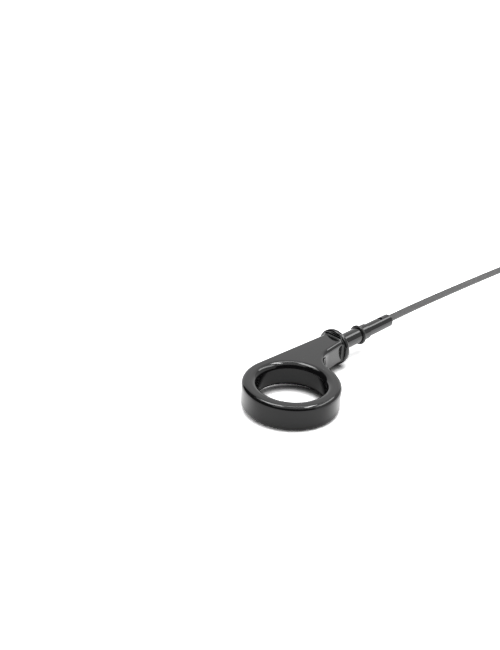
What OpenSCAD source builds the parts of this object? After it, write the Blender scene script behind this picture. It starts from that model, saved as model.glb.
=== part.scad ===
// Engine oil dipstick: a one-piece metal handle with an offset finger ring and a turned shank,
// a rubber seal on the shank, and a steel blade held in the shank's slot by a cross pin.
// X runs along the shank towards the blade's tip, Z is up, and the finger ring lies to -Y.
// The origin is on the shank's axis, at the face of the flange that seats on the dipstick tube.

/* [Finger ring] */
// Outer diameter of the finger ring
ring_d = 50.4; // [48:0.2:54]
// Diameter of the finger hole
hole_d = 34.8; // [30:0.2:36]
// Thickness of the handle
handle_t = 13.8; // [12:0.2:16]
// Distance from the seating face back to the ring's centre
ring_reach = 55.1; // [52:0.1:60]
// Sideways offset of the ring's centre from the shank's axis
ring_offset = 17; // [15:0.5:19]
// Rounding of the handle's outer edges
edge_r = 2.4; // [1.5:0.1:3]
// Rounding of the finger hole's edges
finger_r = 3.4; // [2:0.1:3.6]

/* [Neck] */
// Angle at which the straight back edge closes on the shank's axis
back_taper = 2.6; // [1:0.2:4]
// Distance of the neck's front side from the shank's axis, at the flange
front_half_w = 7.3; // [6:0.1:8]
// Angle at which the neck's front side closes on the shank's axis
front_taper = 6.5; // [3:0.5:10]
// Radius of the hollow curve between the ring and the neck
crook_r = 16; // [10:1:20]
// Fillet between the neck and the flange
neck_root_r = 1.6; // [0.6:0.2:2]

/* [Flange] */
// Diameter of the flange
flange_d = 20.2; // [19:0.2:24]
// Thickness of the flange
flange_t = 3.2; // [2.6:0.2:4]
// Rounding of the flange's rim
rim_r = 1.2; // [0.6:0.1:1.2]

/* [Shank] */
// Diameter of the shank next to the flange
shank_d = 8.86; // [8:0.1:10]
// Distance from the seating face to the step
step_at = 25.8; // [24:0.2:30]
// Diameter of the nose beyond the step
nose_d = 7.66; // [7:0.1:8]
// Distance from the seating face to the end of the nose
nose_end = 46.8; // [45:0.2:52]
// Fillet between the shank and the flange
shank_root_r = 1; // [0.6:0.1:1.4]
// Rounding of the nose's end
nose_r = 0.8; // [0.4:0.1:1]
// Chamfer at the step
step_chamfer = 0.35; // [0.2:0.05:0.5]

/* [Seal] */
// Outer diameter of the seal
seal_d = 11.3; // [10.6:0.1:12]
// Diameter of the seal's cord
seal_cord = 2; // [1.8:0.1:2.2]
// Distance from the seating face to the seal
seal_at = 19; // [17:0.2:21]
// Room for the cord along its groove
groove_play = 0.7; // [0.4:0.1:1]
// Gap between the seal and the groove's floor
seal_gap = 0.03; // [0.01:0.01:0.05]

/* [Blade] */
// Width of the blade
blade_w = 5.4; // [4.4:0.1:6]
// Thickness of the blade
blade_t = 0.9; // [0.6:0.1:1.2]
// Height of the blade above the shank's axis, in its slot
blade_lift = 0.5; // [0:0.1:0.8]
// Depth of the slot in the nose
slot_depth = 14; // [12:0.5:16]
// Gap all round the blade in its slot
slot_gap = 0.05; // [0.02:0.01:0.1]
// Radius of the blade's first bend, which starts at the nose
first_bend_r = 1200; // [900:100:2000]
// Angle of the first bend
first_bend = 1.8; // [1:0.1:2.4]
// Radius of the second bend
second_bend_r = 3900; // [3000:100:6000]
// Angle of the second bend
second_bend = 1.5; // [0.5:0.1:2.5]
// Length of the straight free end, after the bends
blade_free = 200; // [60:5:300]
// Diameter of the two level holes
level_hole_d = 1.6; // [1:0.1:2]
// Distance from the blade's tip to the lower level hole
low_level_at = 12; // [8:1:20]
// Distance between the two level holes
level_span = 18; // [12:1:30]

/* [Pin] */
// Diameter of the spring pin
pin_d = 2.4; // [1.6:0.1:2.8]
// Gap between the pin and the wall of its hole in the nose
pin_gap = 0.02; // [0.01:0.01:0.05]
// Wall of the spring pin
pin_wall = 0.4; // [0.3:0.05:0.5]
// Width of the slit along the spring pin
pin_slit = 0.4; // [0.2:0.1:0.6]
// Distance from the seating face to the pin
pin_at = 38.6; // [36:0.2:41]
// Depth of the pin's ends below the surface of the nose
pin_recess = 0.8; // [0.4:0.1:1.2]
// Room round the pin where it passes through the blade
pin_play = 0.1; // [0.05:0.05:0.2]

/* [Hidden] */

ring_r = ring_d / 2;
hole_r = hole_d / 2;
half_t = handle_t / 2;
ring_c = [-ring_reach, -ring_offset];
flange_back = -flange_t;

// Depth of the rounded rim that runs round the neck
rim_depth = 6;
// Depth at which the neck's core starts, past the rim's rounding
core_depth = 4.5;
// The same behind the hollow curve, where the core crosses the end of the rim
crook_core_depth = 4;
// How far the rims of the neck lie inside the lines that they would only touch
lap = 0.05;
// How far the front side's rim runs on behind the hollow curve's
run_on = 4;
// Radius at which the flange limits the fillet round the neck's foot
root_limit_r = flange_d / 2 - rim_r / 2;
// Overlap of joined solids, and of tools past the faces that they cut
over = 1;

// Back edge: a straight line that leaves the ring on a tangent
back_dir = [cos(back_taper), -sin(back_taper)];
back_out = [sin(back_taper), cos(back_taper)];
back_from = ring_c + ring_r * back_out;
back_len = (flange_back + flange_t / 2 - back_from.x) / back_dir.x;
back_to = back_from + back_len * back_dir;

// Front side of the neck: a straight line that ends at the flange
front_dir = [cos(front_taper), sin(front_taper)];
front_out = [sin(front_taper), -cos(front_taper)];
front_to = [flange_back, -front_half_w];

// Hollow curve: an arc that touches both the ring and the neck's front side
crook_side = front_to + crook_r * front_out - ring_c;
crook_along = crook_side * front_dir;
crook_away = crook_side * front_out;
crook_back = crook_along - sqrt(pow(ring_r + crook_r, 2) - pow(crook_away, 2));
crook_c = front_to + crook_r * front_out - crook_back * front_dir;
crook_foot = crook_c - crook_r * front_out;
to_ring = (ring_c - crook_c) / norm(ring_c - crook_c);
crook_start = 90 + front_taper;
crook_turn = atan2(to_ring.y, to_ring.x) + (to_ring.y < 0 ? 360 : 0) - crook_start;

// Radius at which the neck ends inside the ring, in the middle of the ring's flat face
ring_flat_r = (hole_r + finger_r + ring_r - edge_r) / 2;

// Half width of the neck towards its back edge, at the flange
back_half_w = back_to.y + flange_t / 2 * tan(back_taper);

shank_r = shank_d / 2;
seal_r = (seal_d - seal_cord) / 2;
groove_r = seal_r - seal_cord / 2 - seal_gap;
groove_w = seal_cord + groove_play;

// Facets of a full turn at which each bend still has about a dozen
bend_fn = 3600;
// Where the circle of the second bend has its top, and where the straight free end starts
both_bends = first_bend + second_bend;
second_top = (first_bend_r - second_bend_r) * [sin(first_bend), 0, cos(first_bend) - 1];
free_from = second_top + second_bend_r * [sin(both_bends), 0, cos(both_bends) - 1];

pin_half = nose_d / 2 - pin_recess;

$fn = 96;

// Section of the handle's rim: its outer face is at x = 0, and it reaches depth inwards
module rim_section(depth) {
    translate([-depth, -half_t])
        square([depth - edge_r, handle_t]);
    translate([-depth, edge_r - half_t])
        square([depth, handle_t - 2 * edge_r]);
    for (side = [-1, 1])
        translate([-edge_r, side * (half_t - edge_r)])
            circle(r = edge_r);
}

// A straight stretch of rim along X, with its outer face at +Y
module rim_strip(length, depth)
    rotate([90, 0, 90])
        linear_extrude(length)
            rim_section(depth);

// Section of the finger ring, with the finger hole's rounding on its inner side
module ring_section() {
    translate([ring_r, 0])
        rim_section(ring_r - hole_r - finger_r);
    translate([hole_r, finger_r - half_t])
        square([finger_r + over, handle_t - 2 * finger_r]);
    for (side = [-1, 1])
        translate([hole_r + finger_r, side * (half_t - finger_r)])
            circle(r = finger_r);
}

// The neck's rounded rim: straight back edge, straight front side and the hollow curve between
module neck_rim() {
    translate(back_from - lap * back_out)
        rotate(-back_taper)
            rim_strip(back_len, rim_depth);
    translate(crook_foot - run_on * front_dir)
        rotate(front_taper)
            mirror([0, 1, 0])
                rim_strip(run_on + crook_back + flange_t / 2, rim_depth);
    translate(crook_c)
        rotate(crook_start)
            rotate_extrude(angle = crook_turn)
                translate([crook_r + lap, 0])
                    mirror([1, 0])
                        rim_section(rim_depth);
}

// The neck's flat middle, which fills what its rim encloses
module neck_core()
    translate([0, 0, -half_t])
        linear_extrude(handle_t)
            difference() {
                polygon([
                    ring_c,
                    back_from - core_depth * back_out - over * back_dir,
                    back_to - core_depth * back_out,
                    [back_to.x, front_to.y] - core_depth * front_out,
                    crook_foot - core_depth * front_out - over * front_dir,
                    crook_c + over * front_dir
                ]);
                translate(crook_c)
                    circle(r = crook_r + crook_core_depth);
            }

// The neck, from the ring's flat face to the flange
module neck()
    difference() {
        union() {
            neck_rim();
            neck_core();
        }
        translate(ring_c)
            cylinder(r = ring_flat_r, h = handle_t + 2 * over, center = true);
    }

// Section of a hollow fillet of radius r: it rises to r at x = 0 and reaches depth below its foot
module root_section(r, depth)
    difference() {
        translate([-r, -depth])
            square([r + flange_t / 2, r + depth]);
        translate([-r, r])
            circle(r = r);
    }

// What lies within the radius at which the flange limits its fillet
module within_flange()
    intersection() {
        children();
        translate([flange_back - 2 * neck_root_r, 0, 0])
            rotate([0, 90, 0])
                cylinder(r = root_limit_r, h = 2 * neck_root_r + flange_t);
    }

// The fillet all round the neck's foot, where it meets the flange
module neck_root() {
    back_y = back_half_w - edge_r;
    front_y = -front_half_w + edge_r;
    for (side = [-1, 1])
        within_flange()
            translate([flange_back, front_y, 0])
                mirror([0, 0, side < 0 ? 1 : 0])
                    translate([0, back_y - front_y, half_t])
                        rotate([90, 0, 0])
                            linear_extrude(back_y - front_y)
                                root_section(neck_root_r, over);
    for (wall = [[back_half_w, 1], [-front_half_w, -1]])
        within_flange()
            translate([flange_back, wall[0], edge_r - half_t])
                mirror([0, wall[1] < 0 ? 1 : 0, 0])
                    linear_extrude(handle_t - 2 * edge_r)
                        root_section(neck_root_r, over);
    for (y = [back_y, front_y], side = [-1, 1])
        within_flange()
            translate([flange_back, y, side * (half_t - edge_r)])
                rotate([0, 90, 0])
                    rotate_extrude()
                        rotate(90)
                            translate([0, -edge_r])
                                root_section(neck_root_r, edge_r);
}

// Everything that is turned about the shank's axis: flange, shank, seal groove, step and nose
module turned_section() {
    difference() {
        union() {
            translate([0, flange_back])
                square([flange_d / 2 - rim_r, flange_t]);
            translate([0, flange_back + rim_r])
                square([flange_d / 2, flange_t - 2 * rim_r]);
            for (y = [flange_back + rim_r, -rim_r])
                translate([flange_d / 2 - rim_r, y])
                    circle(r = rim_r);
            square([shank_r, step_at - step_chamfer]);
            polygon([
                [0, step_at - step_chamfer], [shank_r, step_at - step_chamfer],
                [shank_r - step_chamfer, step_at], [0, step_at]
            ]);
            square([nose_d / 2, nose_end - nose_r]);
            square([nose_d / 2 - nose_r, nose_end]);
            translate([nose_d / 2 - nose_r, nose_end - nose_r])
                circle(r = nose_r);
            difference() {
                square([shank_r + shank_root_r, shank_root_r]);
                translate([shank_r + shank_root_r, shank_root_r])
                    circle(r = shank_root_r);
            }
        }
        translate([groove_r, seal_at - groove_w / 2])
            square([shank_r, groove_w]);
    }
}

// The handle is machined from one bar: ring, neck, flange and shank
module handle()
    color("#2b2c2e")
        difference() {
            union() {
                translate(ring_c)
                    rotate_extrude()
                        ring_section();
                neck();
                neck_root();
                rotate([0, 90, 0])
                    rotate_extrude()
                        turned_section();
            }
            translate([nose_end - slot_depth, -blade_w / 2 - slot_gap, blade_lift - blade_t / 2 - slot_gap])
                cube([slot_depth + over, blade_w + 2 * slot_gap, blade_t + 2 * slot_gap]);
            translate([pin_at, 0, 0])
                cylinder(d = pin_d + 2 * pin_gap, h = nose_d + 2 * over, center = true);
        }

// The round rubber seal in its groove
module shank_seal()
    color("#161616")
        translate([seal_at, 0, 0])
            rotate([0, 90, 0])
                rotate_extrude()
                    translate([seal_r, 0])
                        circle(d = seal_cord);

// A straight stretch of blade from the origin along X
module strip(length)
    translate([0, -blade_w / 2, -blade_t / 2])
        cube([length, blade_w, blade_t]);

// A bent stretch of blade, on a circle that has its top at the origin
module strip_bend(r, start, angle)
    translate([0, 0, -r])
        rotate([-90, -90, 0])
            rotate_extrude(start = start, angle = angle, $fn = bend_fn)
                translate([r, 0])
                    translate([-blade_t / 2, -blade_w / 2])
                        square([blade_t, blade_w]);

// Moves to p by a round step and the small rest of the way, so that the stretches meet to the last digit
module at_joint(p) {
    near = [for (c = p) round(c * 100) / 100];
    translate(near)
        translate(p - near)
            children();
}

// The straight free end of the blade, with its round tip and the two level holes
module free_end()
    difference() {
        union() {
            strip(blade_free - blade_w / 2);
            translate([blade_free - blade_w / 2, 0, 0])
                cylinder(d = blade_w, h = blade_t, center = true);
        }
        for (back = [low_level_at, low_level_at + level_span])
            translate([blade_free - back, 0, 0])
                cylinder(d = level_hole_d, h = blade_t + 2 * over, center = true);
    }

// The steel blade, lying with the slight set that it has at rest
module blade()
    color("#8f9194")
        translate([nose_end, 0, blade_lift]) {
            difference() {
                translate([slot_gap - slot_depth, 0, 0])
                    strip(slot_depth - slot_gap);
                translate([pin_at - nose_end, 0, 0])
                    cylinder(d = pin_d + 2 * pin_play, h = blade_t + 2 * over, center = true);
            }
            strip_bend(first_bend_r, 0, first_bend);
            at_joint(second_top)
                strip_bend(second_bend_r, first_bend, second_bend);
            at_joint(free_from)
                rotate([0, both_bends, 0])
                    free_end();
        }

// The slit spring pin that holds the blade in its slot
module blade_pin()
    color("#3a3b3d")
        translate([pin_at, 0, 0])
            difference() {
                cylinder(d = pin_d, h = 2 * pin_half, center = true);
                cylinder(d = pin_d - 2 * pin_wall, h = 2 * pin_half + over, center = true);
                translate([0, -pin_slit / 2, -pin_half - over])
                    cube([pin_d, pin_slit, 2 * pin_half + 2 * over]);
            }

handle();
shank_seal();
blade();
blade_pin();
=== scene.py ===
"""Looks of the engine oil dipstick: finely meshed pieces, their finishes, and a plain white studio."""

import math
from types import SimpleNamespace

import bmesh
import bpy
from mathutils import Matrix, Vector


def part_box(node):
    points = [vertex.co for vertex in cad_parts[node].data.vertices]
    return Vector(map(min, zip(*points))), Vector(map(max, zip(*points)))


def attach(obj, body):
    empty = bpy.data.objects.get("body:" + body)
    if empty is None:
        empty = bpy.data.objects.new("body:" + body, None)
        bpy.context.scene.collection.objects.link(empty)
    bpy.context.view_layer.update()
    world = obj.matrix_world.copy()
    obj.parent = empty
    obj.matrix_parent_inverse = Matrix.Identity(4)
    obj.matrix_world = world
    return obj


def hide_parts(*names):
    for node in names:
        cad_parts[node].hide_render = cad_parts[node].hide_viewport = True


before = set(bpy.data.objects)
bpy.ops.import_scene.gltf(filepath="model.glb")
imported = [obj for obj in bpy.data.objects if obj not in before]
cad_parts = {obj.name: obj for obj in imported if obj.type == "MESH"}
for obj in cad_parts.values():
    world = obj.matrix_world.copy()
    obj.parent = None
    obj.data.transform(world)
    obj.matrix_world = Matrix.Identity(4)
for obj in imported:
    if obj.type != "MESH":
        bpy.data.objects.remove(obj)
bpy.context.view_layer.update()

MM = 0.001

# Handle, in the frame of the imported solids: X along the shank, finger ring to -Y
handle_low, handle_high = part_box("handle")
RING_R = 25.2 * MM
FINGER_HOLE_R = 17.4 * MM
HALF_T = 6.9 * MM
EDGE_R = 2.4 * MM
FINGER_EDGE_R = 3.4 * MM
RING_AT = Vector((handle_low.x + RING_R, handle_low.y + RING_R))
BACK_TAPER = math.radians(2.6)
FRONT_TAPER = math.radians(6.5)
FRONT_HALF_W = 7.3 * MM
CROOK_R = 16 * MM
NECK_ROOT_R = 1.6 * MM

FLANGE_R = handle_high.z
FLANGE_T = 3.2 * MM
FLANGE_BACK = -FLANGE_T
RIM_R = 1.2 * MM
NECK_LIMIT_R = FLANGE_R - RIM_R / 2

SHANK_R = 4.43 * MM
SHANK_ROOT_R = 1 * MM
STEP_AT = 25.8 * MM
STEP_CHAMFER = 0.35 * MM
NOSE_R = 3.83 * MM
NOSE_END = handle_high.x
NOSE_EDGE_R = 0.8 * MM

# Seal and its groove
SEAL_AT = 19 * MM
SEAL_CORD_R = 1 * MM
SEAL_R = 4.65 * MM
GROOVE_R = 3.62 * MM
GROOVE_W = 2.7 * MM

# Blade, its slot and its pin
BLADE_W = 5.4 * MM
BLADE_T = 0.9 * MM
BLADE_LIFT = 0.5 * MM
FIRST_BEND_R = 1200 * MM
FIRST_BEND = math.radians(1.8)
SECOND_BEND_R = 3900 * MM
SECOND_BEND = math.radians(1.5)
BLADE_FREE = 200 * MM
SLOT_DEPTH = 14 * MM
SLOT_GAP = 0.05 * MM
LEVEL_HOLE_D = 1.6 * MM
LOW_LEVEL_AT = 12 * MM
LEVEL_SPAN = 18 * MM
PIN_AT = 38.6 * MM
PIN_R = 1.2 * MM
PIN_GAP = 0.02 * MM
PIN_PLAY = 0.1 * MM
PIN_WALL = 0.4 * MM
PIN_SLIT = 0.4 * MM
PIN_HALF = 3.03 * MM
PIN_EDGE = 0.12 * MM

# Meshing of the handle: points along each part of its outline, rows across its edges and faces, and the
# angle from which an edge counts as sharp
BACK_STEPS = 24
RING_STEPS = 220
CROOK_STEPS = 48
FRONT_STEPS = 14
ROUNDING_STEPS = 12
WALL_STEPS = 18
FLAT_STEPS = 26
HOLE_STEPS = 240
FLANGE_STEPS = 6
TURNED_STEPS = 10
RIM_FROM = -math.pi / 3
RIM_BACK_STEPS = 8
SAME_POINT = 1e-7
SHARP = math.radians(35)
NOSE_HOLE_SIDES = 64
CUT_PAST = 1 * MM

# Meshing of the grown pieces: the blade's tip takes its last tenth of rows and stays just inside the
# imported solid, and points nearer than WELD are one
PLATE_ROWS = 420
PLATE_COLUMNS = 13
STRAIGHT_SHARE = 0.9
TIP_INSET = 0.012 * MM
WELD = 0.005 * MM
LEVEL_HOLE_SIDES = 40
PIN_HOLE_SIDES = 48
SEAL_STEPS = 192
CORD_SIDES = 48
PIN_STEPS = 72
PIN_EDGE_STEPS = 4

# Camera, as the photograph was taken
CAMERA_AT = Vector((-367.75, -280.32, 251.61)) * MM
CAMERA_HEADING = math.radians(43.24)
CAMERA_DIP = math.radians(27.74)
CAMERA_ROLL = math.radians(3.15)
CAMERA_LENS_MM = 52.93
CAMERA_SENSOR_MM = 36
CAMERA_CLIP = 0.01
AHEAD = Vector((math.cos(CAMERA_HEADING), math.sin(CAMERA_HEADING), 0))
LEVEL = Vector((AHEAD.y, -AHEAD.x, 0))
UP = Vector((0, 0, 1))

# Plane that the part lies on: where the ring ends, how its search starts, and the floor's half length
RING_END = FLANGE_BACK - 10 * MM
FIRST_LEAN = 0.05
PLANE_ROUNDS = 12
FLOOR_REACH = 4

# Brightness of the studio, where 1 is white, and the lamp in watts and metres
FLOOR_WHITE = 0.86
FLOOR_EXPOSED = 2.6
FLOOR_MIRRORED = 0.85
# Painted shade on the floor, seen only in the gloss: darker in front of the ring and in the finger hole
FRONT_MIRRORED = 0.6
HOLE_MIRRORED = 0.5
SKY_LIGHT = 0.42
SKY_MIRRORED = 1.15
LAMP_W = 11.0
LAMP_SIZE = (1.6, 1.2)
LAMP_AWAY = 0.45
CEILING = 1.0

# Painted contact shadow on the floor, from ambient occlusion: how far it reaches, its depth to the camera
# and in the gloss, and the span of distances from the ring's middle over which it sets in again outside the
# ring
CONTACT_REACH = 4.5 * MM
CONTACT_SEEN = 1.6
CONTACT_MIRRORED = 3.6
CONTACT_SAMPLES = 8
OUTSIDE_FROM = RING_R + 1 * MM
OUTSIDE_TO = RING_R + 6 * MM

# Strips of light under the ceiling and upright cards, as the glossy metal mirrors them: how far each
# reaches away from the camera, to the right and up, from the middle of the ring, and its brightness
MIRRORED = {
    "strip_left": ((-0.10, 0.34), (-0.56, -0.12), (CEILING, CEILING), 9.5),
    "strip_far_left": ((-0.10, 0.34), (-0.90, -0.60), (CEILING, CEILING), 2.5),
    "strip_right": ((-0.16, 0.42), (0.30, 0.42), (CEILING, CEILING), 20.0),
    "strip_bridge": ((0.24, 0.40), (-0.12, 0.30), (CEILING, CEILING), 8.0),
    "strip_far_right": ((-0.30, 0.90), (0.72, 1.14), (CEILING, CEILING), 6.0),
    "card_near": ((-0.90, -0.90), (-1.20, 1.20), (-0.05, 1.05), 0.0),
    "card_left": ((-1.25, 1.25), (-1.30, -1.30), (0.0, 2.10), 0.0),
    "card_right": ((-1.50, 2.50), (2.0, 2.0), (0.0, 2.30), 0.7),
}


# Meshes


def unit(angle):
    """The direction at an angle, in a plane."""
    return Vector((math.cos(angle), math.sin(angle)))


def steps(start, end, count):
    """Count values from start to end, both ends in."""
    return [start + (end - start) * i / (count - 1) for i in range(count)]


def skin(mesh, rows, closed=False):
    """Faces between neighbouring rows of vertices, as many in each row."""
    for one, two in zip(rows, rows[1:]):
        last = len(one) if closed else len(one) - 1
        for i in range(last):
            j = (i + 1) % len(one)
            corners = [one[i], one[j], two[j], two[i]]
            if len(set(corners)) == 4:
                mesh.faces.new(corners)


def new_object(name, data):
    """An object in the scene, at the origin, with the data."""
    made = bpy.data.objects.new(name, data)
    bpy.context.scene.collection.objects.link(made)
    return made


def object_from(name, mesh):
    """An object from a bmesh, whose faces are turned outwards first."""
    bmesh.ops.recalc_face_normals(mesh, faces=mesh.faces)
    data = bpy.data.meshes.new(name)
    mesh.to_mesh(data)
    mesh.free()
    return new_object(name, data)


def smooth(mesh):
    """Welds a bmesh and makes it smooth-shaded, other than at its sharp edges."""
    bmesh.ops.remove_doubles(mesh, verts=mesh.verts, dist=SAME_POINT)
    bmesh.ops.recalc_face_normals(mesh, faces=mesh.faces)
    for face in mesh.faces:
        face.smooth = True
    for edge in mesh.edges:
        edge.smooth = len(edge.link_faces) == 2 and edge.calc_face_angle(0) < SHARP
    return mesh


def apply_modifiers(made):
    """The object's evaluated mesh takes the place of its own, with no modifier left."""
    depsgraph = bpy.context.evaluated_depsgraph_get()
    finished = bpy.data.meshes.new_from_object(made.evaluated_get(depsgraph))
    made.modifiers.clear()
    made.data = finished
    return made


# Handle: ring and neck


def neck_line(side, x):
    """Y of the neck's straight back edge (side 1) or front side (side -1) at x."""
    if side > 0:
        from_ring = RING_AT + RING_R * unit(math.pi / 2 - BACK_TAPER)
        return from_ring.y - (x - from_ring.x) * math.tan(BACK_TAPER)
    return -FRONT_HALF_W - (FLANGE_BACK - x) * math.tan(FRONT_TAPER)


def crook_centre():
    """Centre of the hollow curve, and how far along the front side it ends before the flange."""
    along = unit(FRONT_TAPER)
    out = unit(FRONT_TAPER - math.pi / 2)
    foot = Vector((FLANGE_BACK, -FRONT_HALF_W)) + CROOK_R * out - RING_AT
    reach = math.sqrt((RING_R + CROOK_R) ** 2 - foot.dot(out) ** 2)
    back = foot.dot(along) - reach
    return RING_AT + foot - back * along


def rim_stations(inset, end_x):
    """The plan outline of ring and neck, moved inwards, from the flange round the ring and back."""
    back_out = unit(math.pi / 2 - BACK_TAPER)
    front_out = unit(FRONT_TAPER - math.pi / 2)
    centre = crook_centre()
    ring_from = math.pi / 2 - BACK_TAPER
    ring_to = math.atan2(centre.y - RING_AT.y, centre.x - RING_AT.x) + 2 * math.pi
    crook_from = ring_to - math.pi
    crook_to = math.pi / 2 + FRONT_TAPER

    tangent = RING_AT + (RING_R - inset) * back_out
    start = Vector((end_x, neck_line(1, end_x) - inset / math.cos(BACK_TAPER)))
    points = [start.lerp(tangent, t) for t in steps(0, 1, BACK_STEPS)[:-1]]
    points += [RING_AT + (RING_R - inset) * unit(a) for a in steps(ring_from, ring_to, RING_STEPS)]
    crook = steps(crook_from, crook_to, CROOK_STEPS)
    points += [centre + (CROOK_R + inset) * unit(a) for a in crook[1:]]
    foot = centre - (CROOK_R + inset) * front_out
    end = Vector((end_x, neck_line(-1, end_x) + inset / math.cos(FRONT_TAPER)))
    points += [foot.lerp(end, t) for t in steps(0, 1, FRONT_STEPS)[1:]]
    return points


def rim_rows(wall_steps=WALL_STEPS):
    """Angle of the surface and height of the rounding's centre for each row, from top to bottom."""
    upper = [(a, 1) for a in steps(math.pi / 2, 0, ROUNDING_STEPS)]
    wall = [(0, t) for t in steps(1, -1, wall_steps)[1:-1]]
    lower = [(a, -1) for a in steps(0, -math.pi / 2, ROUNDING_STEPS)]
    return upper + wall + lower


def neck_section(x, swell):
    """The neck's outline at x, swollen by the root fillet, as a ring of points that starts at the top."""
    rows = rim_rows()
    reach = HALF_T - EDGE_R
    back = neck_line(1, x) - EDGE_R / math.cos(BACK_TAPER)
    front = neck_line(-1, x) + EDGE_R / math.cos(FRONT_TAPER)
    radius = EDGE_R + swell
    ring = [(back + radius * math.cos(a), t * reach + radius * math.sin(a)) for a, t in rows]
    ring += [(y, -HALF_T - swell) for y in steps(back, front, FLAT_STEPS)[1:-1]]
    ring += [(front - radius * math.cos(a), t * reach + radius * math.sin(a)) for a, t in reversed(rows)]
    ring += [(y, HALF_T + swell) for y in steps(front, back, FLAT_STEPS)[1:-1]]
    return ring


def flange_back_at(radius):
    """X of the flange's rear surface at a radius, with the rounding of its rim."""
    past = radius - (FLANGE_R - RIM_R)
    if past <= 0:
        return FLANGE_BACK
    return FLANGE_BACK + RIM_R - math.sqrt(max(RIM_R**2 - past**2, 0))


def turned_profile():
    """Radius and x of the turned part, from the flange's rim to the middle of the nose's end."""
    rim = [
        (FLANGE_R - RIM_R + RIM_R * math.cos(a), centre + RIM_R * math.sin(a))
        for centre, angles in (
            (FLANGE_BACK + RIM_R, steps(RIM_FROM, 0, RIM_BACK_STEPS)),
            (-RIM_R, steps(0, math.pi / 2, ROUNDING_STEPS)),
        )
        for a in angles
    ]
    root = [
        (SHANK_R + SHANK_ROOT_R * (1 - math.cos(a)), SHANK_ROOT_R * (1 - math.sin(a)))
        for a in steps(math.pi / 2, 0, TURNED_STEPS)
    ]
    groove = [
        (SHANK_R, SEAL_AT - GROOVE_W / 2),
        (GROOVE_R, SEAL_AT - GROOVE_W / 2),
        (GROOVE_R, SEAL_AT + GROOVE_W / 2),
        (SHANK_R, SEAL_AT + GROOVE_W / 2),
    ]
    step = [(SHANK_R, STEP_AT - STEP_CHAMFER), (SHANK_R - STEP_CHAMFER, STEP_AT), (NOSE_R, STEP_AT)]
    nose = [
        (NOSE_R - NOSE_EDGE_R * (1 - math.cos(a)), NOSE_END - NOSE_EDGE_R * (1 - math.sin(a)))
        for a in steps(0, math.pi / 2, TURNED_STEPS)
    ]
    return rim + root + groove + step + nose


def handle_mesh():
    """Ring, neck, root fillet, flange and shank as one closed mesh."""
    mesh = bmesh.new()
    neck_end = FLANGE_BACK - NECK_ROOT_R
    rows = rim_rows()
    rim = []
    for angle, side in rows:
        inset = EDGE_R * (1 - math.cos(angle))
        z = side * (HALF_T - EDGE_R) + EDGE_R * math.sin(angle)
        rim.append([mesh.verts.new((p.x, p.y, z)) for p in rim_stations(inset, neck_end)])
    skin(mesh, rim)

    # Finger hole
    hole = []
    for angle, side in rim_rows(wall_steps=2):
        radius = FINGER_HOLE_R + FINGER_EDGE_R * (1 - math.cos(angle))
        z = side * (HALF_T - FINGER_EDGE_R) + FINGER_EDGE_R * math.sin(angle)
        around = [RING_AT + radius * unit(a) for a in steps(0, 2 * math.pi, HOLE_STEPS + 1)[:-1]]
        hole.append([mesh.verts.new((p.x, p.y, z)) for p in around])
    skin(mesh, hole, closed=True)

    # Root fillet, from the neck's end to the flange
    section = neck_section(neck_end, 0)
    count = len(rows)
    flat = (len(section) - 2 * count) // 2
    first = [row[0] for row in rim]
    bottom = [mesh.verts.new((neck_end, y, z)) for y, z in section[count : count + flat]]
    last = [row[-1] for row in reversed(rim)]
    top = [mesh.verts.new((neck_end, y, z)) for y, z in section[-flat:]]
    sections = [first + bottom + last + top]
    for angle in steps(0, math.pi / 2, ROUNDING_STEPS)[1:]:
        x = neck_end + NECK_ROOT_R * math.sin(angle)
        ring = []
        for y, z in neck_section(x, NECK_ROOT_R * (1 - math.cos(angle))):
            radius = math.hypot(y, z)
            kept = min(radius, NECK_LIMIT_R)
            at = x if angle < math.pi / 2 else flange_back_at(kept)
            ring.append(mesh.verts.new((at, y * kept / radius, z * kept / radius)))
        sections.append(ring)

    # Flange, from the fillet's foot outwards, then everything that is turned
    foot = [(math.hypot(v.co.y, v.co.z), math.atan2(v.co.z, v.co.y)) for v in sections[-1]]
    outer = FLANGE_R - RIM_R + RIM_R * math.cos(RIM_FROM)
    for share in steps(0, 1, FLANGE_STEPS)[1:-1]:
        ring = []
        for radius, angle in foot:
            r = radius + (max(outer, radius) - radius) * share
            ring.append(mesh.verts.new((flange_back_at(r), r * math.cos(angle), r * math.sin(angle))))
        sections.append(ring)
    for r, x in turned_profile():
        ring = [mesh.verts.new((x, r * math.cos(a), r * math.sin(a))) for _, a in foot]
        sections.append(ring)
    skin(mesh, sections, closed=True)
    mesh.faces.new(sections[-1])

    # Flat faces, between the rim, the finger hole and the neck's end
    for row, ring, line in ((rim[0], hole[0], top), (rim[-1], hole[-1], bottom)):
        ends = [row[-1], *line, row[0]] if row is rim[0] else [row[0], *line, row[-1]]
        chains = [list(zip(row, row[1:])), list(zip(ring, ring[1:] + ring[:1])), list(zip(ends, ends[1:]))]
        edges = [mesh.edges.get(pair) or mesh.edges.new(pair) for chain in chains for pair in chain]
        bmesh.ops.triangle_fill(mesh, use_beauty=True, edges=edges)
    return mesh


def slot_cutter():
    """The blade's slot in the nose."""
    mesh = bmesh.new()
    length = SLOT_DEPTH + CUT_PAST
    size = Vector((length, BLADE_W + 2 * SLOT_GAP, BLADE_T + 2 * SLOT_GAP))
    place = Matrix.Translation((NOSE_END - SLOT_DEPTH + length / 2, 0, BLADE_LIFT))
    bmesh.ops.create_cube(mesh, size=1, matrix=place @ Matrix.Diagonal(size).to_4x4())
    return object_from("slot_cutter", mesh)


def pin_hole_cutter():
    """The cross hole for the pin."""
    mesh = bmesh.new()
    radius = PIN_R + PIN_GAP
    bmesh.ops.create_cone(
        mesh, cap_ends=True, segments=NOSE_HOLE_SIDES, radius1=radius, radius2=radius, depth=4 * NOSE_R,
        matrix=Matrix.Translation((PIN_AT, 0, 0)),
    )
    return object_from("pin_hole_cutter", mesh)


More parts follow.
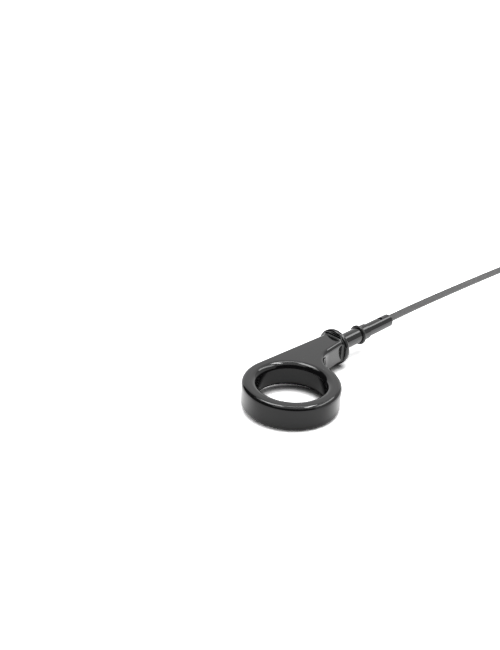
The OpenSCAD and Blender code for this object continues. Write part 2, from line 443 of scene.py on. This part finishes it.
def make_handle(material):
    """The one-piece handle, with the slot and the pin's hole cut into its nose."""
    made = object_from("handle_body", smooth(handle_mesh()))
    made.data.materials.append(material)
    for tool in (slot_cutter(), pin_hole_cutter()):
        cut = made.modifiers.new("cut", "BOOLEAN")
        cut.operation = "DIFFERENCE"
        cut.solver = "EXACT"
        cut.object = tool
        apply_modifiers(made)
        bpy.data.objects.remove(tool)
    weigh = made.modifiers.new("weigh", "WEIGHTED_NORMAL")
    weigh.keep_sharp = True
    weigh.weight = 100
    return apply_modifiers(made)


# Maths and nodes of a tree


class Link:
    """A node tree's output socket, with maths written as Python."""

    def __init__(self, tree, socket):
        self.tree = tree
        self.socket = socket

    def maths(self, operation, *others):
        return self.tree.node("ShaderNodeMath", {"operation": operation}, self, *others)

    def __add__(self, other):
        return self.maths("ADD", other)

    def __sub__(self, other):
        return self.maths("SUBTRACT", other)

    def __rsub__(self, other):
        return self * -1 + other

    def __mul__(self, other):
        return self.maths("MULTIPLY", other)

    def __truediv__(self, other):
        return self.maths("DIVIDE", other)

    def __pow__(self, other):
        return self.maths("POWER", other)

    __radd__ = __add__
    __rmul__ = __mul__


class Tree:
    """A node tree, with one method for every node."""

    def __init__(self, group):
        self.group = group
        group.nodes.clear()

    def node(self, kind, settings=None, *values, output=0, **named):
        """A new node, its settings and inputs, and the link to one of its outputs."""
        made = self.group.nodes.new(kind)
        for key, value in (settings or {}).items():
            setattr(made, key, value)
        for index, value in enumerate(values):
            self.feed(made.inputs[index], value)
        for key, value in named.items():
            self.feed(made.inputs[key.replace("_", " ")], value)
        return Link(self, made.outputs[output]) if made.outputs else made

    def feed(self, socket, value):
        """Sets an input, or links it to one output or to each of a list."""
        links = value if isinstance(value, list) else [value]
        for link in links:
            if isinstance(link, Link):
                self.group.links.new(link.socket, socket)
            else:
                socket.default_value = link


def clamped(value, top):
    """The value, kept between 0 and top."""
    return value.maths("MAXIMUM", 0).maths("MINIMUM", top)


def smooth_step(tree, value, start, end):
    """Rises smoothly from 0 to 1 as the value goes from start to end."""
    return tree.node(
        "ShaderNodeMapRange", {"interpolation_type": "SMOOTHSTEP"},
        Value=value, From_Min=start, From_Max=end,
    )


def vector(tree, x, y, z):
    """A vector from its three values."""
    return tree.node("ShaderNodeCombineXYZ", {}, x, y, z)


def position(tree):
    """X, Y and Z of each point."""
    x = tree.node("ShaderNodeSeparateXYZ", {}, tree.node("GeometryNodeInputPosition"))
    return x, *(Link(tree, socket) for socket in x.socket.node.outputs[1:])


def geometry_tree(name, **sizes):
    """A tree that grows a piece at named sizes, and a link to each of them."""
    group = bpy.data.node_groups.new(name, "GeometryNodeTree")
    for size, value in sizes.items():
        given = group.interface.new_socket(size, in_out="INPUT", socket_type="NodeSocketFloat")
        given.default_value = value
    group.interface.new_socket("Geometry", in_out="OUTPUT", socket_type="NodeSocketGeometry")
    tree = Tree(group)
    given = group.nodes.new("NodeGroupInput")
    return tree, SimpleNamespace(**{size: Link(tree, given.outputs[size]) for size in sizes})


def grown(tree, shape, material):
    """The piece that a tree grows, as a plain mesh."""
    real = tree.node("GeometryNodeRealizeInstances", {}, shape)
    finished = tree.node("GeometryNodeSetMaterial", {}, real, Material=material)
    tree.node("NodeGroupOutput", {}, finished)
    name = tree.group.name
    made = new_object(name, bpy.data.meshes.new(name))
    grow = made.modifiers.new("grow", "NODES")
    grow.node_group = tree.group
    for item in tree.group.interface.items_tree:
        if item.in_out == "INPUT":
            grow[item.identifier] = item.default_value
    return apply_modifiers(made)


def grey(level):
    """An even grey: 0 is black and 1 is white."""
    return (level, level, level, 1)


def material_tree(name):
    """A new material and its empty tree."""
    made = bpy.data.materials.new(name)
    made.use_nodes = True
    return made, Tree(made.node_tree)


def object_point(tree, stretch=(1, 1, 1)):
    """The point on the piece, in metres, stretched along each axis."""
    point = tree.node("ShaderNodeTexCoord", output="Object")
    return tree.node("ShaderNodeMapping", {"vector_type": "POINT"}, Vector=point, Scale=stretch)


def noise(tree, point, scale, detail=2.0):
    """Soft noise from 0 to 1, with scale in features to the metre."""
    return tree.node("ShaderNodeTexNoise", {}, Vector=point, Scale=scale, Detail=detail)


def black_metal():
    """Black anodised metal: polished before it was dyed, with a faint grain left in its gloss."""
    made, tree = material_tree("black_metal")
    point = object_point(tree)
    cloud = noise(tree, point, 60, 3.0)
    grain = noise(tree, point, 2600, 2.0)
    colour = tree.node(
        "ShaderNodeMix", {"data_type": "RGBA"}, output=2,
        Factor=cloud, A=(0.005, 0.005, 0.0055, 1), B=(0.01, 0.01, 0.0105, 1),
    )
    bump = tree.node("ShaderNodeBump", {}, Strength=0.03, Distance=0.02 * MM, Height=grain)
    shader = tree.node(
        "ShaderNodeBsdfPrincipled", {}, Base_Color=colour, Metallic=0.0,
        Roughness=0.06 + 0.03 * cloud + 0.02 * grain, IOR=1.5, Normal=bump,
    )
    tree.node("ShaderNodeOutputMaterial", {}, Surface=shader)
    return made


def seal_rubber():
    """Black moulded rubber with a thin film of oil."""
    made, tree = material_tree("seal_rubber")
    point = object_point(tree)
    grain = noise(tree, point, 4000, 3.0)
    bump = tree.node("ShaderNodeBump", {}, Strength=0.15, Distance=0.03 * MM, Height=grain)
    shader = tree.node(
        "ShaderNodeBsdfPrincipled", {}, Base_Color=grey(0.02),
        Roughness=0.3 + 0.1 * grain, IOR=1.5, Normal=bump,
    )
    tree.node("ShaderNodeOutputMaterial", {}, Surface=shader)
    return made


def blade_steel():
    """Rolled spring steel, drawn along its length."""
    made, tree = material_tree("blade_steel")
    lines = noise(tree, object_point(tree, (0.02, 1, 1)), 7000, 4.0)
    cloud = noise(tree, object_point(tree, (0.3, 1, 1)), 90, 3.0)
    colour = tree.node(
        "ShaderNodeMix", {"data_type": "RGBA"}, output=2,
        Factor=cloud, A=grey(0.085), B=grey(0.118),
    )
    bump = tree.node("ShaderNodeBump", {}, Strength=0.15, Distance=0.02 * MM, Height=lines)
    shader = tree.node(
        "ShaderNodeBsdfPrincipled", {}, Base_Color=colour, Metallic=1.0,
        Roughness=0.34 + 0.12 * lines, Normal=bump,
    )
    tree.node("ShaderNodeOutputMaterial", {}, Surface=shader)
    return made


def pin_steel():
    """Dark oiled steel."""
    made, tree = material_tree("pin_steel")
    grain = noise(tree, object_point(tree), 5000, 2.0)
    shader = tree.node(
        "ShaderNodeBsdfPrincipled", {}, Base_Color=(0.09, 0.09, 0.095, 1), Metallic=1.0,
        Roughness=0.35 + 0.15 * grain,
    )
    tree.node("ShaderNodeOutputMaterial", {}, Surface=shader)
    return made


# Blade, seal and pin, each grown along its own path


def grow_blade(material):
    """A flat strip from the slot to its round tip, with its holes, then bent along its two arcs."""
    tree, size = geometry_tree(
        "blade_grown", width=BLADE_W, thickness=BLADE_T, in_slot=SLOT_DEPTH - SLOT_GAP,
        first_r=FIRST_BEND_R, first_angle=FIRST_BEND, second_r=SECOND_BEND_R, second_angle=SECOND_BEND,
        free=BLADE_FREE - TIP_INSET, low_level=LOW_LEVEL_AT, span=LEVEL_SPAN, level_r=LEVEL_HOLE_D / 2,
        pin_x=PIN_AT - NOSE_END, pin_r=PIN_R + PIN_PLAY, lift=BLADE_LIFT, nose_x=NOSE_END,
    )
    first = size.first_r * size.first_angle
    second = size.second_r * size.second_angle
    tip = first + second + size.free
    half = size.width / 2

    # Flat plate, as long as the blade is along its curve
    plate = tree.node("GeometryNodeMeshGrid", {}, 1, 1, PLATE_ROWS, PLATE_COLUMNS)
    u, v, _ = position(tree)
    u = u + 0.5
    straight = (tip - half + size.in_slot) * (u / STRAIGHT_SHARE).maths("MINIMUM", 1) - size.in_slot
    turn = ((u - STRAIGHT_SHARE) / (1 - STRAIGHT_SHARE)).maths("MAXIMUM", 0) * (math.pi / 2)
    s = straight + half * turn.maths("SINE")
    y = v * 2 * half * turn.maths("COSINE")
    lower = size.thickness / -2
    flat = tree.node("GeometryNodeSetPosition", {}, plate, Position=vector(tree, s, y, lower))
    flat = tree.node("GeometryNodeMergeByDistance", {}, flat, Distance=WELD)
    raised = tree.node(
        "GeometryNodeExtrudeMesh", {}, flat,
        Offset=(0, 0, 1), Offset_Scale=size.thickness, Individual=False,
    )
    base = tree.node("GeometryNodeFlipFaces", {}, flat)
    both = tree.node("GeometryNodeJoinGeometry", {}, [base, raised])
    strip = tree.node("GeometryNodeMergeByDistance", {}, both, Distance=WELD)

    # Level holes and the pin's hole
    deep = size.thickness * 4
    drill = tree.node("GeometryNodeMeshCylinder", {}, LEVEL_HOLE_SIDES, 1, 1, size.level_r, deep)
    full_at = tip - size.low_level - size.span
    row = tree.node(
        "GeometryNodeMeshLine", {"mode": "OFFSET"}, 2,
        Start_Location=vector(tree, full_at, 0, 0), Offset=vector(tree, size.span, 0, 0),
    )
    levels = tree.node("GeometryNodeInstanceOnPoints", {}, row, Instance=drill)
    levels = tree.node("GeometryNodeRealizeInstances", {}, levels)
    pin_drill = tree.node("GeometryNodeMeshCylinder", {}, PIN_HOLE_SIDES, 1, 1, size.pin_r, deep)
    pin_drill = tree.node("GeometryNodeTransform", {}, pin_drill, Translation=vector(tree, size.pin_x, 0, 0))
    holed = tree.node(
        "GeometryNodeMeshBoolean", {"operation": "DIFFERENCE", "solver": "EXACT"},
        strip, [levels, pin_drill],
    )

    # The set: each point turns with the length of both arcs that it has passed
    s, y, z = position(tree)
    turn1 = clamped(s, first) / size.first_r
    turn2 = turn1 + clamped(s - first, second) / size.second_r
    before = s.maths("MINIMUM", 0)
    rest = (s - first - second).maths("MAXIMUM", 0)
    sin1, cos1 = turn1.maths("SINE"), turn1.maths("COSINE")
    sin2, cos2 = turn2.maths("SINE"), turn2.maths("COSINE")
    x = before + size.first_r * sin1 + size.second_r * (sin2 - sin1) + rest * cos2 + z * sin2
    drop = size.first_r * (1 - cos1) + size.second_r * (cos1 - cos2) + rest * sin2
    bent = tree.node(
        "GeometryNodeSetPosition", {}, holed,
        Position=vector(tree, x + size.nose_x, y, z * cos2 - drop + size.lift),
    )
    return grown(tree, bent, material)


def grow_seal(material):
    """A round cord swept round the shank."""
    tree, size = geometry_tree("seal_grown", ring_r=SEAL_R, cord_r=SEAL_CORD_R, at=SEAL_AT)
    path = tree.node("GeometryNodeCurvePrimitiveCircle", {}, SEAL_STEPS, Radius=size.ring_r)
    profile = tree.node("GeometryNodeCurvePrimitiveCircle", {}, CORD_SIDES, Radius=size.cord_r)
    swept = tree.node("GeometryNodeCurveToMesh", {}, path, profile)
    turned = tree.node(
        "GeometryNodeTransform", {}, swept,
        Translation=vector(tree, size.at, 0, 0), Rotation=(0, math.pi / 2, 0),
    )
    return grown(tree, tree.node("GeometryNodeSetShadeSmooth", {}, turned), material)


def grow_pin(material):
    """A slit tube with rolled edges, its wall swept along an open circle."""
    tree, size = geometry_tree(
        "pin_grown", outer=PIN_R, wall=PIN_WALL, slit=PIN_SLIT, half=PIN_HALF, at=PIN_AT, edge=PIN_EDGE,
    )
    middle = size.outer - size.wall / 2
    half_open = (size.slit / 2 / middle).maths("ARCSINE")
    path = tree.node(
        "GeometryNodeCurveArc", {"mode": "RADIUS"}, PIN_STEPS,
        Radius=middle, Start_Angle=half_open, Sweep_Angle=2 * math.pi - 2 * half_open,
    )
    section = tree.node(
        "GeometryNodeCurvePrimitiveQuadrilateral", {"mode": "RECTANGLE"}, size.wall, size.half * 2,
    )
    rolled = tree.node(
        "GeometryNodeFilletCurve", {"mode": "POLY"}, section,
        Radius=size.edge, Count=PIN_EDGE_STEPS, Limit_Radius=True,
    )
    swept = tree.node("GeometryNodeCurveToMesh", {}, path, rolled, Fill_Caps=True)
    placed = tree.node("GeometryNodeTransform", {}, swept, Translation=vector(tree, size.at, 0, 0))
    return grown(tree, placed, material)


# Studio


def resting_plane():
    """A point and the upward normal of the surface that carries ring, flange and blade.

    The search starts from a slight lean towards the side to which the ring is offset.
    """
    handle = [v.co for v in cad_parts["handle"].data.vertices]
    supports = [
        [p for p in handle if p.x < RING_END],
        [p for p in handle if FLANGE_BACK <= p.x <= 0],
        [v.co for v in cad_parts["blade"].data.vertices],
    ]
    up = Vector((0, FIRST_LEAN, 1)).normalized()
    for _ in range(PLANE_ROUNDS):
        one, two, three = (min(points, key=up.dot) for points in supports)
        up = (two - one).cross(three - one).normalized()
        if up.z < 0:
            up.negate()
    return one.copy(), up


def stage_plane(name, centre, reach, rise, material):
    """A flat rectangle that belongs to the studio, from its centre and two half edges."""
    data = bpy.data.meshes.new(name)
    signs = ((-1, -1), (1, -1), (1, 1), (-1, 1))
    data.from_pydata([centre + i * reach + j * rise for i, j in signs], [], [(0, 1, 2, 3)])
    data.materials.append(material)
    made = new_object(name, data)
    return made


def ray_kind(tree, kind):
    """1 for rays of the kind, else 0."""
    return tree.node("ShaderNodeLightPath", output=kind)


def floor_material():
    """White surface, exposed past white as in a bright photograph, with deep contact shadows."""
    made, tree = material_tree("floor_white")
    glossy = ray_kind(tree, "Is Glossy Ray")
    seen = ray_kind(tree, "Is Camera Ray") + glossy

    # The floor has a painted contact shadow, from ambient occlusion, inside the finger hole and under neck
    # and flange. The gloss shows the floor in the hole and in front of the ring darker than the rest, as
    # painted shade that only reflections show.
    point = tree.node("ShaderNodeTexCoord", output="Object")
    middle = (RING_AT.x, RING_AT.y, -HALF_T)
    from_ring = tree.node(
        "ShaderNodeVectorMath", {"operation": "DISTANCE"}, point, middle, output="Value",
    )
    inside = from_ring.maths("LESS_THAN", RING_R - EDGE_R)
    outside = smooth_step(tree, from_ring, OUTSIDE_FROM, OUTSIDE_TO)
    away = tree.node(
        "ShaderNodeVectorMath", {"operation": "DOT_PRODUCT"}, point, tuple(AHEAD), output="Value",
    )
    ring_away = RING_AT.dot(AHEAD.xy)
    in_front = smooth_step(tree, away, ring_away, ring_away - RING_R)
    mirrored = FLOOR_MIRRORED - (1 - HOLE_MIRRORED) * inside - (1 - FRONT_MIRRORED) * in_front * (1 - inside)
    open_sky = tree.node(
        "ShaderNodeAmbientOcclusion", {"samples": CONTACT_SAMPLES}, output="AO", Distance=CONTACT_REACH,
    )
    contact = open_sky ** (CONTACT_SEEN + (CONTACT_MIRRORED - CONTACT_SEEN) * glossy)
    shade = (1 - (1 - contact) * (inside + outside)) * (1 - (1 - mirrored) * glossy)
    exposed = tree.node(
        "ShaderNodeMix", {"data_type": "RGBA"}, output=2, Factor=shade, A=grey(0), B=grey(FLOOR_EXPOSED),
    )

    # Other rays meet plain white, and the floor is clear from below
    white = tree.node("ShaderNodeBsdfDiffuse", {}, Color=grey(FLOOR_WHITE))
    bright = tree.node("ShaderNodeBsdfDiffuse", {}, Color=exposed)
    lit = tree.node("ShaderNodeMixShader", {}, seen, white, bright)
    clear = tree.node("ShaderNodeBsdfTransparent")
    below = tree.node("ShaderNodeNewGeometry", output="Backfacing")
    surface = tree.node("ShaderNodeMixShader", {}, below, lit, clear)
    tree.node("ShaderNodeOutputMaterial", {}, Surface=surface)
    return made


def card_material(name, strength):
    """A card that glows evenly, or is black at strength 0."""
    made, tree = material_tree(name)
    shader = tree.node("ShaderNodeEmission", {}, Strength=strength)
    tree.node("ShaderNodeOutputMaterial", {}, Surface=shader)
    made.cycles.emission_sampling = "NONE"
    return made


def mirrored_card(name, centre, reach, rise, strength):
    """A card that only shows in the gloss of the object."""
    made = stage_plane(name, centre, reach, rise, card_material(name, strength))
    made.visible_camera = False
    made.visible_diffuse = False
    made.visible_shadow = False
    made.visible_transmission = False
    made.visible_volume_scatter = False


def make_world():
    """A white room to the camera and in reflections, and a softer one as a light."""
    world = bpy.data.worlds.new("studio")
    bpy.context.scene.world = world
    world.use_nodes = True
    tree = Tree(world.node_tree)
    camera = ray_kind(tree, "Is Camera Ray")
    glossy = ray_kind(tree, "Is Glossy Ray")
    strength = SKY_LIGHT + (1 - SKY_LIGHT) * camera + (SKY_MIRRORED - SKY_LIGHT) * glossy
    shader = tree.node("ShaderNodeBackground", {}, Color=grey(1), Strength=strength)
    tree.node("ShaderNodeOutputWorld", {}, Surface=shader)


def make_lights():
    """The overhead lamp, and the strips and cards that only the gloss shows."""
    aim = RING_AT.to_3d()
    light = bpy.data.lights.new("overhead", "AREA")
    light.shape = "RECTANGLE"
    light.size, light.size_y = LAMP_SIZE
    light.energy = LAMP_W
    lamp = new_object("overhead", light)
    lamp.matrix_world = (
        Matrix.Translation(aim + LAMP_AWAY * AHEAD + CEILING * UP)
        @ Matrix((AHEAD, UP.cross(AHEAD), UP)).transposed().to_4x4()
    )
    lamp.visible_glossy = False

    for name, (*spans, strength) in MIRRORED.items():
        centre = aim.copy()
        halves = []
        for axis, (start, end) in zip((AHEAD, LEVEL, UP), spans):
            centre += axis * (start + end) / 2
            if start != end:
                halves.append(axis * (end - start) / 2)
        mirrored_card(name, centre, *halves, strength)


def make_camera():
    """The camera, as the photograph was taken."""
    forward = AHEAD * math.cos(CAMERA_DIP) - UP * math.sin(CAMERA_DIP)
    down = forward.cross(LEVEL)
    cos, sin = math.cos(CAMERA_ROLL), math.sin(CAMERA_ROLL)
    right = cos * LEVEL - sin * down
    down = sin * LEVEL + cos * down
    camera = new_object("camera", bpy.data.cameras.new("camera"))
    camera.data.lens = CAMERA_LENS_MM
    camera.data.sensor_width = CAMERA_SENSOR_MM
    camera.data.clip_start = CAMERA_CLIP
    turn = Matrix((right, -down, -forward)).transposed().to_4x4()
    camera.matrix_world = Matrix.Translation(CAMERA_AT) @ turn
    bpy.context.scene.camera = camera


def make_studio():
    """World, floor, lights and camera."""
    make_world()
    ground, up = resting_plane()
    along = Vector((1, 0, 0)).cross(up).normalized()
    stage_plane("floor", ground, FLOOR_REACH * up.cross(along), FLOOR_REACH * -along, floor_material())
    make_lights()
    make_camera()
    bpy.context.scene.view_settings.view_transform = "Standard"


make_studio()
for node, made, slot in (
    ("handle", make_handle(black_metal()), "black_metal"),
    ("shank_seal", grow_seal(seal_rubber()), "seal_rubber"),
    ("blade", grow_blade(blade_steel()), "blade_steel"),
    ("blade_pin", grow_pin(pin_steel()), "pin_steel"),
):
    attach(made, "root")
    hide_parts(node)
